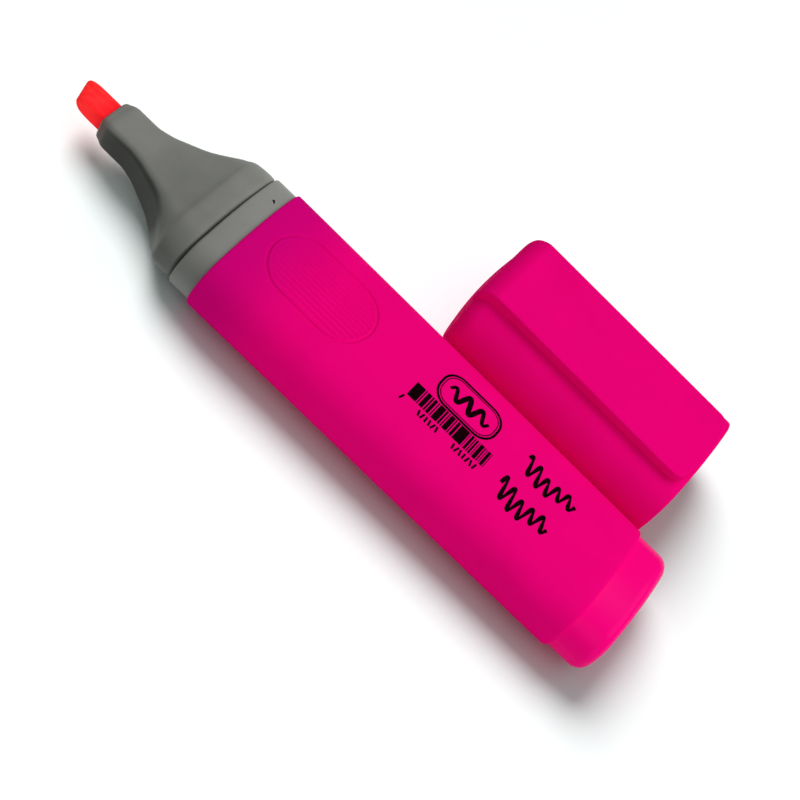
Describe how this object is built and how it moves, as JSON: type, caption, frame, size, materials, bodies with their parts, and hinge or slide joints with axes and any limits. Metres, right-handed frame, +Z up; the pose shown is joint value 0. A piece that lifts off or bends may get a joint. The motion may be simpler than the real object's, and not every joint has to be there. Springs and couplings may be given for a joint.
{
  "type": "highlighter",
  "caption": "Flat-oval chisel-tip highlighter lying uncapped, with a ribbed thumb pad, grey flared nose and a matching cap with a wide flat clip beside it.",
  "frame": {"origin": "on the table, in the middle of the footprint of the marker and its cap", "axes": "+X along the marker from the nib to the rear plug, +Y from the marker to the cap, +Z up"},
  "size_m": [0.1158, 0.0535, 0.0178],
  "materials": {
    "pink_satin_plastic": "satin injection-moulded polypropylene, fluorescent pink",
    "pink_gloss_plastic": "polished moulding, fluorescent pink",
    "pink_cap_plastic": "semi-gloss moulding, fluorescent pink",
    "light_grey_plastic": "satin warm grey moulding",
    "grey_plastic": "satin warm grey moulding",
    "inked_fibre": "pressed polyester fibre soaked with red-pink ink",
    "reservoir_fibre": "bundled polyester fibre soaked with ink",
    "clear_film": "thin polypropylene film",
    "seal_plastic": "natural polypropylene"
  },
  "bodies": {
    "marker": {"barrel": "pink_satin_plastic", "rear_plug": "pink_gloss_plastic", "front_collar": "light_grey_plastic", "nose_cone": "grey_plastic", "nib": "inked_fibre", "ink_reservoir": "reservoir_fibre", "reservoir_wrap": "clear_film"},
    "cap": {"cap_shell": "pink_cap_plastic", "cap_inner_seal": "seal_plastic"},
    "clip": {"cap_clip": "pink_cap_plastic"}
  },
  "joints": [
    {"name": "cap_pull", "type": "slide", "parent": "marker", "child": "cap", "axis": [-0.9998, 0.0175, 0], "range_m": [0, 0.036]},
    {"name": "clip_flex", "type": "hinge", "parent": "cap", "child": "clip", "pos_m": [0.01341, 0.01311, 0.0178], "axis": [-0.0175, -0.9998, 0], "range_deg": [0, 5], "stiffness_Nm_per_rad": 0.5}
  ]
}
